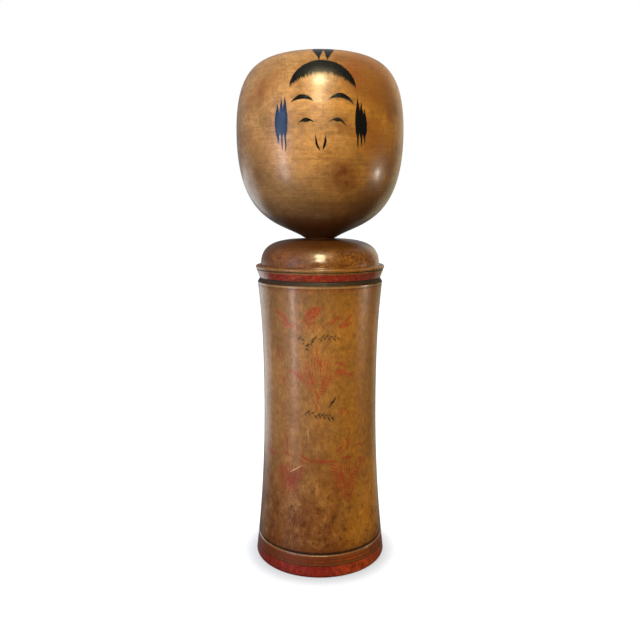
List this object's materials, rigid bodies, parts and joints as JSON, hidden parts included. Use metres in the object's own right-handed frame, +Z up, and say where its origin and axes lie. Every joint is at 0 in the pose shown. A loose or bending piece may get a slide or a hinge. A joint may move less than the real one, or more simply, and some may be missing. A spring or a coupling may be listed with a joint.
{
  "type": "kokeshi doll",
  "caption": "Lathe-turned wooden doll with a stepped, domed shoulder and a painted round head that turns on its captive neck.",
  "frame": {"origin": "centre of the foot, on the surface that the doll stands on", "axes": "+Z up along the turning axis of body and head; the painted face looks along -Y; +X is to the right as the face is seen"},
  "size_m": [0.0775, 0.0774, 0.24],
  "materials": {
    "body_wood": "waxed, darkened by age, with faded red flowers, red bands and dark grooves",
    "head_wood": "waxed, honey brown, with a black ink face and hair"
  },
  "bodies": {
    "torso": {"body": "body_wood"},
    "head": {"head": "head_wood"}
  },
  "joints": [
    {"name": "head_turn", "type": "hinge", "parent": "torso", "child": "head", "pos_m": [0, 0, 0.1497], "axis": [0, 0, 1], "continuous": true}
  ]
}
